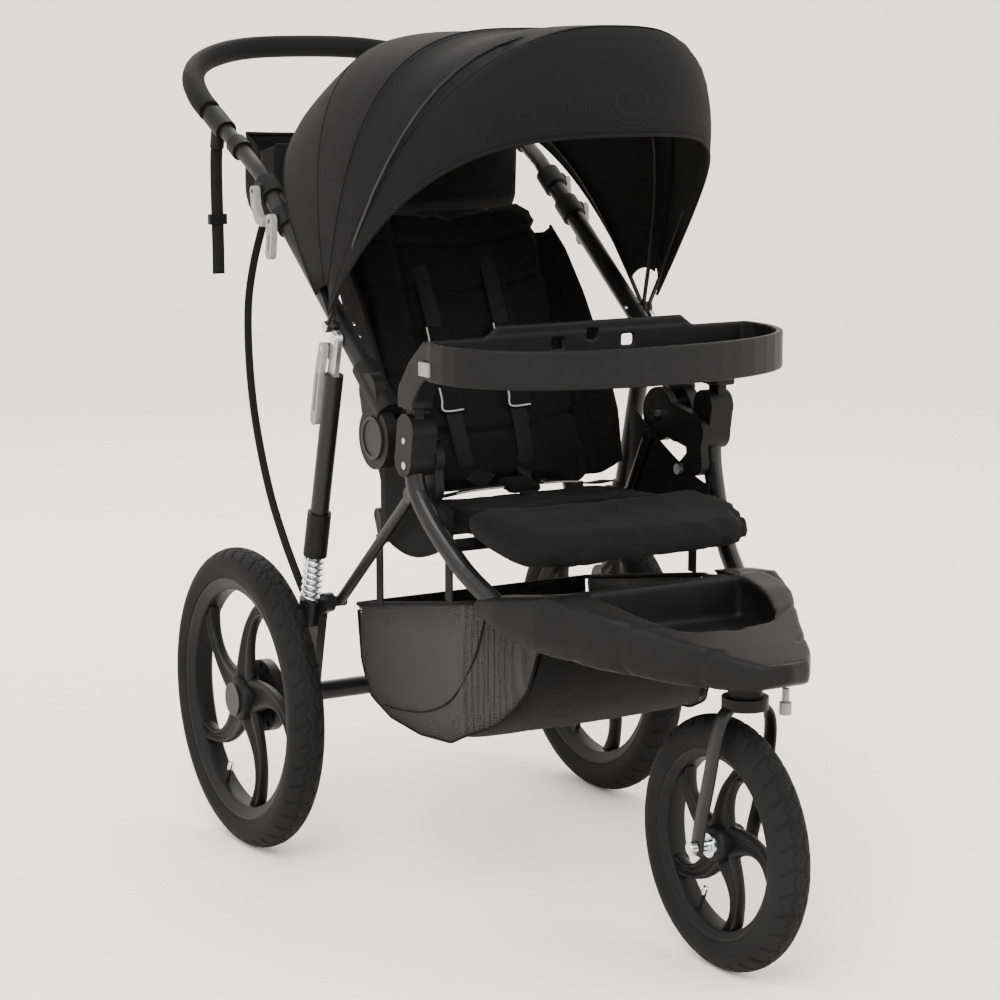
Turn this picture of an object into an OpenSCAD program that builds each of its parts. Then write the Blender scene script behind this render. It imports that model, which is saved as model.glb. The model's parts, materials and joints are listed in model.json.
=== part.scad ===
/* [Wheels] */
// Radius of a rear wheel over its tyre
rear_tyre_r = 200; // [198:0.5:201]
// Radius of the front wheel over its tyre
front_tyre_r = 150; // [148:0.5:151]
// Width of every tyre
tyre_w = 48; // [44:1:48]
// Distance between the front and rear axles
wheelbase = 714; // [708:1:720]
// Distance from the centreline to the middle of a rear wheel
half_track = 274.4; // [274:0.2:275]

/* [Handle frame] */
// Outer radius of the two handle frame tubes
frame_tube_r = 12.5; // [12:0.5:13]
// Radius of the bent handle tube that slides inside them
handle_tube_r = 10.5; // [10.5:0.1:10.6]
// Outer radius of the foam grip
grip_r = 15.5; // [15:0.5:16]
// Slope of the handle frame above level, in degrees
frame_slope = 37.2; // [37:0.1:37.4]

/* [Rear legs] */
// Outer radius of a leg tube
leg_r = 12; // [11.5:0.5:12.5]
// Radius of the sliding rod inside a leg
leg_rod_r = 8; // [7.8:0.1:8]
// Thickness of the spring wire
spring_wire = 4; // [3.5:0.5:4]

/* [Seat and tray] */
// Half the width of the seat cushion
seat_half_w = 163; // [155:1:163]
// Length of the reclining back
back_len = 405; // [395:1:408]
// Slope of the upright back above level, in degrees
back_slope = 65.4; // [64:0.2:66]
// Half the width of the child tray
tray_half_w = 235; // [232:1:236]

/* [Hidden] */
$fn = 48;

// Clearance round a running fit, between bodies that pass each other, and round a loose fit
run_gap = 0.06;
pass_gap = 0.5;
loose_gap = 0.3;

// Everything below is placed from the middle of the rear axle line, with the floor at z = 0
// and the front of the stroller towards -y. The rear axle stands behind the origin so that
// the whole stroller is centred over it.
rear_axle_y = (wheelbase + front_tyre_r) - 632;
handle_rear_y = 632 - rear_axle_y - grip_r;

// Side hinge, as [y, z]
hinge = [-281, 582];
hinge_disc_r = 39;
bracket_x = 186;
bracket_t = 11.5;

// Handle frame tubes: a start point at the hinge and the direction up the tube
frame_x = 215;
frame_start = [-298, 613];
frame_dir = [cos(frame_slope), sin(frame_slope)];
frame_len = 432;
frame_bore_len = 150;

// Rear legs: top pivot, direction down the leg, and distances down it
leg_x = 230;
leg_pivot = [-190, 695];
leg_dir = [sin(14.3), -cos(14.3)];
leg_start = 48;
sleeve_start = 236;
sleeve_end = 296;
spring_end = 358;
link_pin = [-128, 347];
link_top = [-338, 518];
link_x = 200;
link_top_x = 206;
plate_x = 212;
plate_t = 12;
cross_bar = [-70, 215];

// Front swivel and fork
swivel_y = -750;
fork_x = 38;

// Front tubes, one side, from the hinge bracket down into the fairing
front_tube_r = 12;
front_tube_pts = [
    [216, -362, 556], [214, -367, 527], [206, -388, 492], [195, -417, 458], [183, -450, 428]
];
front_tube_end = [160, -525, 384];

// Seat
back_pivot = [-185, 466];
back_half_w = 158;

// Canopy: pivot, the two shells' half widths and their angles above level, seen from the side
canopy_pivot = [-176, 709];
canopy_rear_x = 235;
canopy_rear_r = 368;
canopy_hood_x = 242.7;
canopy_t = 2.5;
rear_from = 46;
rear_to = 106;
hood_from = 104;
hood_side_to = 128;
hood_brim_to = 143;

// Tray
tray_y = -438;
tray_bow = 157;
tray_z = [668, 714];

// Routes of the two webbing straps, hand chosen
tether_pts = [
    [-178, 134, 818], [-182, 138, 800], [-192, 140, 760], [-204, 132, 710], [-214, 112, 650],
    [-222, 84, 585], [-227, 52, 525], [-230, 14, 465], [-231, -26, 415], [-231, -60, 378],
    [-230, -84, 352]
];
tail_pts = [
    [-221.6, 187.6, 915.6], [-221.6, 189.6, 907], [-222, 190, 890], [-222, 190, 860],
    [-222, 189, 820], [-222, 188, 780], [-222, 188, 745]
];

function at(start, dir, s) = [start[0] + dir[0] * s, start[1] + dir[1] * s];
function frame_at(s) = at(frame_start, frame_dir, s);
function leg_at(s) = at(leg_pivot, leg_dir, s);
lever_cam = frame_at(418);
lock_cam = frame_at(358);
latch_pin = leg_pivot + [22, -14];
function space(x, p) = [x, p[0], p[1]];
function super(t, n) = [
    sign(cos(t)) * pow(abs(cos(t)), 2 / n),
    sign(sin(t)) * pow(abs(sin(t)), 2 / n)
];

module in_frame() translate([0, rear_axle_y, 0]) children();

module both() {
    children();
    mirror([1, 0, 0]) children();
}

// Straight round bar between two points
module rod(a, b, r) {
    v = b - a;
    translate(a)
        rotate([0, acos(v[2] / norm(v)), atan2(v[1], v[0])])
            cylinder(r = r, h = norm(v));
}

// Cylinder along x at a [y, z] place
module xcyl(x0, x1, p, r) {
    translate([min(x0, x1), p[0], p[1]]) rotate([0, 90, 0]) cylinder(r = r, h = abs(x1 - x0));
}

// Flat plate across x, drawn in the [y, z] plane
module side_plate(x0, x1) {
    translate([x0, 0, 0]) rotate([90, 0, 90]) linear_extrude(x1 - x0) children();
}

// Flat strip with slightly swollen round ends through points
module strip(points, w) {
    for (i = [0:len(points) - 2]) {
        v = points[i + 1] - points[i];
        translate(points[i]) rotate(atan2(v[1], v[0])) translate([0, -w / 2]) square([norm(v), w]);
    }
    for (p = points) translate(p) circle(d = 1.03 * w);
}

// Swept polyhedron of a round or oval section along a list of rings
module skin(rings) {
    n = len(rings[0]);
    last = len(rings) - 1;
    points = [for (ring = rings) for (p = ring) p];
    sides = [
        for (i = [0:last - 1]) for (j = [0:n - 1])
            let (a = i * n + j, b = i * n + (j + 1) % n, c = b + n, d = a + n) each [[a, b, c], [a, c, d]]
    ];
    start_cap = [[for (j = [n - 1:-1:0]) j]];
    end_cap = [[for (j = [0:n - 1]) last * n + j]];
    polyhedron(points, concat(start_cap, sides, end_cap), convexity = 6);
}

function unit(v) = v / norm(v);
function heading(pts, i) = unit(pts[min(i + 1, len(pts) - 1)] - pts[max(i - 1, 0)]);

// Smooth curve through points, with a number of steps between each two
function spline_at(a, b, c, d, f) =
    0.5 * (2 * b + (c - a) * f + (2 * a - 5 * b + 4 * c - d) * f * f + (3 * b - a - 3 * c + d) * f * f * f);
function smooth(pts, steps) = concat([
    for (i = [0:len(pts) - 2]) for (k = [0:steps - 1])
        spline_at(pts[max(i - 1, 0)], pts[i], pts[i + 1], pts[min(i + 2, len(pts) - 1)], k / steps)
], [pts[len(pts) - 1]]);

// Rings of a round tube of n sides; up is any direction that the tube never runs along
function tube_rings(pts, r, n, up) = [
    for (i = [0:len(pts) - 1])
        let (h = heading(pts, i), side = unit(cross(up, h)), out = unit(cross(h, side)))
            [for (k = [0:n - 1]) pts[i] + r * (side * cos(k * 360 / n) + out * sin(k * 360 / n))]
];

// Tube with a hole along it, from its outer and inner rings
module hollow_skin(outer, inner) {
    n = len(outer[0]);
    m = len(outer);
    points = [for (ring = concat(outer, inner)) for (p = ring) p];
    walls = [
        for (i = [0:m - 2]) for (j = [0:n - 1])
            let (a = i * n + j, b = i * n + (j + 1) % n, o = m * n)
                each [
                    [a, b, b + n], [a, b + n, a + n],
                    [o + b, o + a, o + a + n], [o + b, o + a + n, o + b + n]
                ]
    ];
    ends = [
        for (j = [0:n - 1])
            let (b = (j + 1) % n, o = m * n, e = (m - 1) * n)
                each [
                    [j, o + j, o + b], [j, o + b, b],
                    [e + j, e + b, o + e + b], [e + j, o + e + b, o + e + j]
                ]
    ];
    polyhedron(points, concat(walls, ends), convexity = 8);
}

// Rings of a flat strap: wide along x, thin along its other side
function strap_rings(pts, w, t) = [
    for (i = [0:len(pts) - 1])
        let (h = heading(pts, i), wide = unit(cross(h, [1, 0, 0])), side = unit(cross(wide, h)))
            [for (k = [0:7]) pts[i] + side * t / 2 * cos(k * 45) + wide * w / 2 * sin(k * 45)]
];

// Pneumatic tyre on its own axis, standing across x
module tyre(r, seat_r) {
    rotate([0, 90, 0]) rotate_extrude($fn = 96) difference() {
        translate([r - tyre_w / 2, 0]) circle(d = tyre_w);
        translate([0, -tyre_w]) square([seat_r, 2 * tyre_w]);
    }
}

// Moulded rim with five swept spokes and a bored hub
module rim(seat_r, open_r, hub_r, hub_w, bore_r) {
    spoke_steps = 8;
    function spoke_edge(side) = [
        for (i = [0:spoke_steps])
            let (f = i / spoke_steps, r = hub_r - 4 + f * (open_r + 3 - hub_r + 4), w = hub_r / 2 * (1 - f) + 8 * f,
                 a = 26 * f * f + side * w / r * 180 / PI)
                [r * cos(a), r * sin(a)]
    ];
    difference() {
        rotate([0, 90, 0]) union() {
            rotate_extrude($fn = 96) polygon([
                [open_r, -15], [open_r, 15], [seat_r - 8, 18], [seat_r, 18],
                [seat_r, -18], [seat_r - 8, -18]
            ]);
            for (k = [0:4]) rotate([0, 0, k * 72]) translate([0, 0, -10]) linear_extrude(20)
                polygon(concat(spoke_edge(-1), [for (i = [spoke_steps:-1:0]) spoke_edge(1)[i]]));
            translate([0, 0, -hub_w / 2]) cylinder(r = hub_r, h = hub_w);
        }
        xcyl(-hub_w, hub_w, [0, 0], bore_r);
    }
}

module at_rear_wheel() {
    translate([half_track, 0, rear_tyre_r]) children();
}

module rear_hub() {
    // Outer cap over the axle end, and the brake drum inside the wheel
    difference() {
        union() {
            xcyl(20, 23.5, [0, 0], 22);
            xcyl(-34, -20, [0, 0], 48);
        }
        xcyl(-40, 20.5, [0, 0], 6 + run_gap);
        for (k = [0:11]) rotate([k * 30, 0, 0]) translate([-31, 36, -4]) cube([12, 8, 8]);
    }
}

module clamp_lever() {
    // Hooked cam lever that wraps the tube, on a cam boss above it
    side_plate(frame_x + 17, frame_x + 26) translate(lever_cam) rotate(frame_slope) difference() {
        strip([[0, 0], [-14, -14], [-32, -20], [-43, -15]], 13);
        circle(r = 3 + run_gap);
    }
}

module lock_lever() {
    // Long lever with a finger slot, on a boss below the clamp
    side_plate(frame_x + 17, frame_x + 25) translate(lock_cam) rotate(frame_slope) difference() {
        strip([[0, 0], [-12, -16], [-22, -34]], 18);
        circle(r = 3 + run_gap);
        strip([[-12, -17], [-20, -31]], 6);
    }
}

module fold_latch() {
    // Slotted paddle behind the top of a leg
    side_plate(leg_x + 6, leg_x + 13) translate(latch_pin) difference() {
        strip([[0, 0], [14, -40], [26, -92]], 15);
        circle(r = 3 + run_gap);
        strip([[12, -34], [23, -80]], 5);
    }
}

// ---- Front chassis ----

module front_tubes() {
    run = smooth(concat(front_tube_pts, [front_tube_end]), 3);
    color("#26272a") in_frame() both() skin(tube_rings(run, front_tube_r, 20, [1, 0, 0]));
}

module hinge_brackets() {
    // Lower hinge halves: a disc inside the hinge, an arm, and the post that carries the tray
    color("#2b2c30") in_frame() both() difference() {
        union() {
            side_plate(bracket_x, bracket_x + bracket_t) union() {
                translate(hinge) circle(r = 35);
                strip([hinge, [-362, 568]], 46);
                strip([[-362, 568], [-366, 530]], 34);
                strip([[-364, 540], link_top], 20);
            }
            side_plate(bracket_x + bracket_t, 231) strip([[-367, 602], [-361, 566]], 40);
            side_plate(212, 224) translate([-381, 612]) square([22, 52]);
        }
        xcyl(180, 240, hinge, 5 + run_gap);
        xcyl(180, 200, link_top, 4 + run_gap);
    }
}

module seat_cross_tube() {
    // Cross tube under the front of the seat, and the bar and rods that hold its rear end
    color("#26272a") in_frame() {
        xcyl(-189, 189, [-411, 466], 8);
        difference() {
            union() {
                xcyl(-170, 170, [-196, 440], 8);
                both() {
                    rod([166, -196, 440], [178, -230, 478], 6);
                    rod([178, -230, 478], [178, -268, 548], 6.4);
                    side_plate(174, bracket_x) translate([-270, 552]) circle(r = 9);
                    side_plate(169, 175) strip([[-196, 440], back_pivot], 18);
                }
            }
            both() xcyl(160, 180, back_pivot, 6 + run_gap);
        }
    }
}

module footrest_fairing() {
    // Nose shell between the front tubes, with a foot well
    plan = [
        [194, -466], [193, -510], [176, -575], [150, -650], [118, -710], [98, -760], [80, -805],
        [46, -838], [0, -848]
    ];
    inner = [[0, -576], [112, -574], [136, -540], [150, -500], [156, -462]];
    profile = [
        [-455, 428], [-480, 430], [-560, 431], [-640, 424], [-720, 410], [-790, 398], [-836, 386],
        [-850, 366], [-846, 348], [-820, 338], [-740, 334], [-650, 342], [-560, 358], [-455, 386]
    ];
    well = [
        [108, -584], [112, -610], [104, -660], [88, -700], [64, -722], [0, -730], [-64, -722],
        [-88, -700], [-104, -660], [-112, -610], [-108, -584]
    ];
    outline = concat(plan, [for (i = [len(plan) - 2:-1:0]) [-plan[i][0], plan[i][1]]]);
    back_edge = concat([for (i = [len(inner) - 1:-1:1]) [-inner[i][0], inner[i][1]]], inner);
    color("#2b2c30") in_frame() difference() {
        intersection() {
            translate([0, 0, 320]) linear_extrude(130) polygon(concat(outline, back_edge));
            side_plate(-200, 200) polygon(profile);
        }
        translate([0, 0, 372]) linear_extrude(80) polygon(well);
        both() {
            rod(2 * front_tube_pts[4] - front_tube_end, front_tube_end, front_tube_r + 0.4);
            translate([0, 0, 340]) linear_extrude(28)
                polygon([[20, -600], [96, -620], [70, -690], [20, -700]]);
        }
        translate([0, swivel_y, 300]) cylinder(r = 20.02, h = 60);
        translate([30, -786, 320]) cylinder(r = 7.5, h = 32);
    }
}

module swivel_housing() {
    // Bearing housing for the fork's steerer
    color("#1d1e20") in_frame() difference() {
        union() {
            translate([0, swivel_y, 322]) cylinder(r = 20, h = 38);
            translate([0, swivel_y, 318]) cylinder(r = 27, h = 14);
        }
        translate([0, swivel_y, 310]) cylinder(r = 9 + run_gap, h = 45);
    }
}

module swivel_lock() {
    // Push-pull knob with its plunger, which locks the fork straight ahead
    color("#b8bab8") in_frame() translate([30, -786, 0]) {
        translate([0, 0, 315]) cylinder(r = 7, h = 14);
        translate([0, 0, 329]) cylinder(r = 4, h = 16);
    }
}

module seat_cushion() {
    color("#1b1c1e") in_frame() side_plate(-seat_half_w, seat_half_w) polygon([
        [-207, 458], [-207, 476], [-250, 478], [-330, 486], [-392, 500], [-400, 488],
        [-390, 470], [-330, 460], [-250, 454]
    ]);
}

module calf_rest() {
    color("#1b1c1e") in_frame() intersection() {
        side_plate(-186, 186) polygon([
            [-404, 502], [-440, 504], [-490, 492], [-530, 470], [-540, 450], [-528, 438],
            [-480, 452], [-430, 470], [-404, 482]
        ]);
        translate([0, 0, 400]) linear_extrude(140) polygon([
            [170, -404], [184, -430], [186, -480], [176, -520], [150, -538], [0, -545],
            [-150, -538], [-176, -520], [-186, -480], [-184, -430], [-170, -404]
        ]);
    }
}

module crotch_strap() {
    // Webbing between the legs, with the harness buckle on its end
    color("#1b1c1e") in_frame() {
        translate([-12, -292, 483.5]) cube([24, 40, 3]);
        translate([-24, -262, 487]) rotate([12, 0, 0]) cube([48, 42, 14]);
    }
}

module storage_basket() {
    // Sagging open bag under the seat
    profile = [
        [-128, 340], [-520, 414], [-528, 350], [-500, 292], [-450, 240], [-380, 206], [-300, 194],
        [-220, 196], [-165, 214], [-140, 260]
    ];
    hollow = [
        [-136, 430], [-512, 430], [-518, 352], [-494, 298], [-446, 248], [-378, 214], [-300, 202],
        [-222, 204], [-170, 220], [-148, 264], [-136, 340]
    ];
    color("#1f2022") in_frame() difference() {
        intersection() {
            side_plate(-176, 176) polygon(profile);
            translate([0, 0, 150]) linear_extrude(300) polygon([
                [176, -120], [176, -430], [146, -468], [134, -530], [-134, -530], [-146, -468], [-176, -430],
                [-176, -120]
            ]);
        }
        intersection() {
            side_plate(-170, 170) polygon(hollow);
            translate([0, 0, 150]) linear_extrude(300) polygon([
                [170, -120], [170, -428], [140, -466], [128, -524], [-128, -524], [-140, -466], [-170, -428],
                [-170, -120]
            ]);
        }
    }
}

module basket_straps() {
    // Webbing hangers from the front tubes and the rear seat bar to the rim of the basket
    color("#151516") in_frame() both() {
        translate([176, -386, 391]) cube([2.5, 16, 92]);
        translate([178.5, -386, 480.5]) cube([15.5, 16, 2.5]);
        translate([176, -204, 352]) cube([2.5, 16, 90]);
        translate([175, -204, 430]) cube([2, 16, 12]);
    }
}

module frame_screws() {
    // Screw heads on the hinge brackets and the bolts that the rear links turn on
    color("#8a8c90") in_frame() both() {
        xcyl(180, 211.5, link_top, 4);
        xcyl(178, bracket_x, link_top, 7);
        xcyl(231, 232.5, [-366, 560], 4.5);
        xcyl(231, 232.5, [-366, 590], 3.5);
    }
}

// ---- Handle frame ----

module upper_tubes() {
    color("#26272a") in_frame() both() difference() {
        rod(space(frame_x, frame_at(4)), space(frame_x, frame_at(frame_len)), frame_tube_r);
        rod(space(frame_x, frame_at(frame_len - frame_bore_len)),
            space(frame_x, frame_at(frame_len + 5)), handle_tube_r + run_gap);
        xcyl(190, 240, leg_pivot, 4 + run_gap);
        xcyl(190, 240, canopy_pivot, 3 + run_gap);
    }
}

module hinge_hubs() {
    // Upper hinge halves: a sleeve round each tube and a disc outside the lower half
    color("#2b2c30") in_frame() both() difference() {
        union() {
            rod(space(frame_x, frame_at(0)), space(frame_x, frame_at(82)), 16.5);
            side_plate(213.5, 229) union() {
                translate(hinge) circle(r = hinge_disc_r);
                strip([hinge, frame_at(40)], 44);
            }
            xcyl(198, 214, hinge, 14);
        }
        rod(space(frame_x, frame_at(4)), space(frame_x, frame_at(100)), frame_tube_r + 0.02);
        xcyl(190, 226, hinge, 5 + run_gap);
        xcyl(226, 230, hinge, 27);
    }
}

module hinge_caps() {
    color("#3a3b3f") in_frame() both() difference() {
        xcyl(226, 232, hinge, 26.8);
        xcyl(230.6, 233, hinge, 22);
    }
}

module pivot_bolts() {
    // Bolts of the side hinges, of the legs' top pivots and of the canopy
    color("#c9cbce") in_frame() both() {
        xcyl(bracket_x - 8, 226, hinge, 5);
        xcyl(bracket_x - 9, bracket_x - pass_gap, hinge, 9);
        xcyl(200.5, 236, leg_pivot, 4);
        xcyl(235 + loose_gap, 238, leg_pivot, 7);
        xcyl(200.5, 241, canopy_pivot, 3);
        xcyl(241, 243, canopy_pivot, 6);
    }
}

module lever_housings() {
    // Moulded clamps round the top of each frame tube, which carry the two levers
    color("#1f2023") in_frame() both() difference() {
        union() {
            for (s = [343, 404]) rod(space(frame_x, frame_at(s)), space(frame_x, frame_at(s + 30)), 16.5);
            xcyl(frame_x, frame_x + 16.5, lever_cam, 11);
            xcyl(frame_x, frame_x + 16.5, lock_cam, 11);
            xcyl(frame_x, frame_x + 26, lever_cam, 3);
            xcyl(frame_x, frame_x + 25, lock_cam, 3);
        }
        rod(space(frame_x, frame_at(330)), space(frame_x, frame_at(frame_len)), frame_tube_r + 0.02);
        rod(space(frame_x, frame_at(frame_len - 1)), space(frame_x, frame_at(460)), handle_tube_r + 0.4);
    }
}

// Outline of a canopy shell in [x, radius], as a band between two superellipses
function canopy_edge(half_w, r, steps) = [
    for (i = [0:steps]) let (e = super(i * 90 / steps, 3.2)) [half_w * e[0], r * e[1]]
];

module canopy_rear() {
    outer = canopy_edge(canopy_rear_x, canopy_rear_r, 14);
    inner = canopy_edge(canopy_rear_x - canopy_t, canopy_rear_r - canopy_t, 14);
    color("#222326") in_frame() translate([0, canopy_pivot[0], canopy_pivot[1]])
        rotate([rear_from, 0, 0]) both() rotate([0, 90, 0]) rotate([0, 0, 90])
            rotate_extrude(angle = rear_to - rear_from, $fn = 96) difference() {
                polygon(concat(
                    [for (p = outer) [p[1], p[0]]],
                    [for (i = [14:-1:0]) [inner[i][1], inner[i][0]]]
                ));
                translate([-1, -1]) square([14, 300]);
            }
}

// Radius of the hood above its pivot at an angle seen from the side
function hood_r(a) = a < 128 ? 369.5 / sin(a) : 469 - (a - 128) * (a - 128) * 0.29;

// Ring of the hood: along its profile at one place between the rear and front edges
function hood_ring(f, shrink) = [
    for (i = [0:20])
        let (
            t = 4 + i * 172 / 20,
            e = super(t, 3.2),
            front = hood_side_to + (hood_brim_to - hood_side_to) * e[1] * e[1],
            a = hood_from + (front - hood_from) * f,
            r = (hood_r(a) - shrink) * e[1],
            x = (canopy_hood_x - shrink) * e[0]
        )
            [x, canopy_pivot[0] + r * cos(a), canopy_pivot[1] + r * sin(a)]
];

module canopy_hood() {
    steps = 9;
    rings = [
        for (i = [0:steps])
            concat(hood_ring(i / steps, 0), [for (j = [20:-1:0]) hood_ring(i / steps, canopy_t)[j]])
    ];
    color("#222326") in_frame() skin(rings);
}

module bow(angle, half_w, r) {
    // Flat bent stay, 4 square, from eye to eye, standing at an angle on the canopy's pivot
    function side(grow) = concat(
        [[half_w + grow, 5]],
        [for (i = [0:24]) let (e = super(3 + i * 174 / 24, 3.2)) [(half_w + grow) * e[0], (r + grow) * e[1]]],
        [[-half_w - grow, 5]]
    );
    inner = side(-2);
    translate([0, canopy_pivot[0], canopy_pivot[1]]) rotate([angle, 0, 0]) translate([0, 0, -2])
        linear_extrude(4) polygon(concat(side(2), [for (i = [len(inner) - 1:-1:0]) inner[i]]));
}

module canopy_bows() {
    // Two fixed stays under the rear shell, joined to one eye on each pivot bolt
    color("#3a3b3f") in_frame() difference() {
        union() {
            bow(rear_from + 4, canopy_rear_x - 5, canopy_rear_r - 6);
            bow(rear_to - 3, canopy_rear_x - 5, canopy_rear_r - 6);
            both() xcyl(227.8, 232.2, canopy_pivot, 7.5);
        }
        both() xcyl(220, 240, canopy_pivot, 3 + run_gap);
    }
}

module canopy_front_bow() {
    half_w = canopy_hood_x - 5;
    color("#3a3b3f") in_frame() difference() {
        union() {
            bow(hood_side_to - 4, half_w, hood_r(hood_side_to - 4) - 8);
            both() xcyl(half_w - 2.2, half_w + 2.2, canopy_pivot, 7.5);
        }
        both() xcyl(220, 245, canopy_pivot, 3 + run_gap);
    }
}

module organiser_bag() {
    // Soft bag slung between the frame tubes behind the seat, open at the top
    color("#202124") in_frame() difference() {
        side_plate(-186, 186) polygon([[76, 918], [178, 930], [184, 850], [160, 822], [96, 818], [80, 836]]);
        side_plate(-182, 182) polygon([[81, 940], [173, 940], [179, 852], [157, 827], [99, 823], [85, 839]]);
    }
}

// ---- Handle ----

handle_low = space(frame_x, frame_at(frame_len - frame_bore_len + 6));
handle_bend = space(frame_x, frame_at(frame_len + 10));
handle_mid = [217.5, 104, 909];
handle_high = [223, 206, 964];
stem_dir = unit(handle_bend - handle_low);
neck_dir = unit(handle_high - handle_mid);
handle_side = [
    handle_high + neck_dir * 6, [222.5, 240, 981], [212, 285, 1004], [184, 327, 1024],
    [138, 360, 1038], [80, handle_rear_y - 5, 1046]
];
function mirrored(p) = [-p[0], p[1], p[2]];
handle_loop = concat(
    [handle_high],
    smooth(concat(
        handle_side, [[0, handle_rear_y, 1048]], [for (i = [5:-1:0]) mirrored(handle_side[i])]
    ), 3),
    [mirrored(handle_high)]
);

module handle_stems() {
    // Straight lengths of the handle tube: the two that slide in the frame and the two necks
    color("#26272a") in_frame() both() {
        rod(handle_low, handle_bend, handle_tube_r);
        rod(handle_mid, handle_high, handle_tube_r);
    }
}

module handle_tube() {
    // Bent lengths of the handle tube: an elbow on each side and the loop inside the grip
    elbow = concat(
        [handle_bend],
        smooth([handle_bend + stem_dir * 7, handle_bend + [1.2, 17, 11.5], handle_mid - neck_dir * 8], 4),
        [handle_mid]
    );
    color("#26272a") in_frame() {
        both() skin(tube_rings(elbow, handle_tube_r - 0.1, 20, [1, 0, 0]));
        skin(tube_rings(handle_loop, handle_tube_r - 0.1, 20, [0, -0.45, 0.9]));
    }
}

module foam_grip() {
    color("#161617") in_frame() hollow_skin(
        tube_rings(handle_loop, grip_r, 20, [0, -0.45, 0.9]),
        tube_rings(handle_loop, handle_tube_r + 0.05, 20, [0, -0.45, 0.9])
    );
}

function handle_on(s) = handle_mid + neck_dir * s;

module handle_fittings() {
    // Collars round the necks with the strap stubs, and the slide buckle on the hanging strap
    color("#1f2023") in_frame() {
        both() difference() {
            union() {
                rod(handle_on(10), handle_on(30), 14.5);
                rod(handle_on(62), handle_on(104), 15);
                rod(handle_on(86), handle_on(86) + [0, 8, -34], 9.6);
            }
            rod(handle_on(-5), handle_on(112), handle_tube_r + 0.02);
        }
        difference() {
            translate([-234.5, 184.9, 812]) cube([25, 8, 14]);
            translate([-231.6, 186.9, 808]) cube([19.2, 4.2, 30]);
        }
    }
}

module webbing_tail() {
    color("#151516") in_frame() skin(strap_rings(tail_pts, 3, 18));
}

module tether_strap() {
    color("#151516") in_frame() skin(strap_rings(tether_pts, 2.4, 12));
}

// ---- Rear frame ----

module leg_tubes() {
    color("#26272a") in_frame() both() difference() {
        rod(space(leg_x, leg_at(leg_start)), space(leg_x, leg_at(sleeve_start + 16)), leg_r);
        rod(space(leg_x, leg_at(leg_start + 60)), space(leg_x, leg_at(sleeve_end)), leg_rod_r + 0.6);
    }
}

module leg_brackets() {
    // Flat brackets from the top pivots down the outer side of the legs
    color("#9a9c9e") in_frame() both() difference() {
        side_plate(228.5, 235) union() {
            strip([leg_pivot, leg_at(leg_start + 34)], 20);
            strip([leg_at(30), latch_pin], 14);
        }
        xcyl(220, 240, leg_pivot, 4 + run_gap);
        rod(space(leg_x, leg_at(leg_start)), space(leg_x, leg_at(150)), leg_r + 0.02);
    }
    color("#9a9c9e") in_frame() both() xcyl(235, leg_x + 13.5, latch_pin, 3);
}

module leg_sleeves() {
    color("#1d1e20") in_frame() both() difference() {
        rod(space(leg_x, leg_at(sleeve_start)), space(leg_x, leg_at(sleeve_end)), 15.5);
        rod(space(leg_x, leg_at(sleeve_start - 5)), space(leg_x, leg_at(sleeve_start + 16)), leg_r + 0.02);
        rod(space(leg_x, leg_at(sleeve_start)), space(leg_x, leg_at(sleeve_end + 5)), leg_rod_r + run_gap);
    }
}

module coil_springs() {
    // Two helical springs between the leg sleeves and the axle plates
    turns = 6;
    steps = 60;
    pitch = (spring_end - sleeve_end - spring_wire - 1) / turns;
    angle = 14.3;
    function coil(i) =
        let (a = i * 360 * turns / steps, h = i * pitch * turns / steps)
            [11.5 * cos(a), 11.5 * sin(a), h];
    function coil_ring(i) =
        let (p = coil(i), a = i * 360 * turns / steps, out = [cos(a), sin(a), 0])
            [for (k = [0:5]) p + spring_wire / 2 * (out * cos(k * 60) + [0, 0, 1] * sin(k * 60))];
    p = leg_at(spring_end - spring_wire / 2 - 0.5);
    color("#d5d7da") in_frame() both() translate([leg_x, p[0], p[1]]) rotate([angle, 0, 0])
        skin([for (i = [0:steps]) coil_ring(i)]);
}

// ---- Rear axle ----

module leg_rods() {
    color("#c9cbce") in_frame() both()
        rod(space(leg_x, leg_at(leg_start + 130)), space(leg_x, leg_at(spring_end + 8)), leg_rod_r);
}

module rear_axle_frame() {
    // Cross bar and the side plates that carry the wheels
    color("#26272a") in_frame() {
        difference() {
            union() {
                xcyl(-plate_x, plate_x, cross_bar, 12.5);
                both() {
                    side_plate(plate_x, plate_x + plate_t) union() {
                        strip([leg_at(spring_end + 20), cross_bar], 36);
                        strip([cross_bar, [0, rear_tyre_r]], 34);
                        strip([leg_at(spring_end + 14), link_pin], 24);
                    }
                    rod(space(leg_x, leg_at(spring_end)), space(leg_x, leg_at(spring_end + 34)), 14);
                }
            }
            both() {
                rod(space(leg_x, leg_at(spring_end - 20)), space(leg_x, leg_at(spring_end + 8)),
                    leg_rod_r + 0.02);
                rod(space(leg_x, leg_at(spring_end - 30)), space(leg_x, leg_at(spring_end)), 14);
                xcyl(200, 250, [0, rear_tyre_r], 6.02);
            }
            for (x = [-52, 52]) xcyl(x - 7, x + 7, cross_bar, 20);
        }
        xcyl(-60, 60, cross_bar, 6);
    }
}

module wheel_axles() {
    color("#c9cbce") in_frame() both() {
        xcyl(plate_x, half_track + 19, [0, rear_tyre_r], 6);
        xcyl(plate_x - 4, plate_x, [0, rear_tyre_r], 11);
        xcyl(plate_x + plate_t, half_track - 34.5, [0, rear_tyre_r], 10);
    }
}

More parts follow.
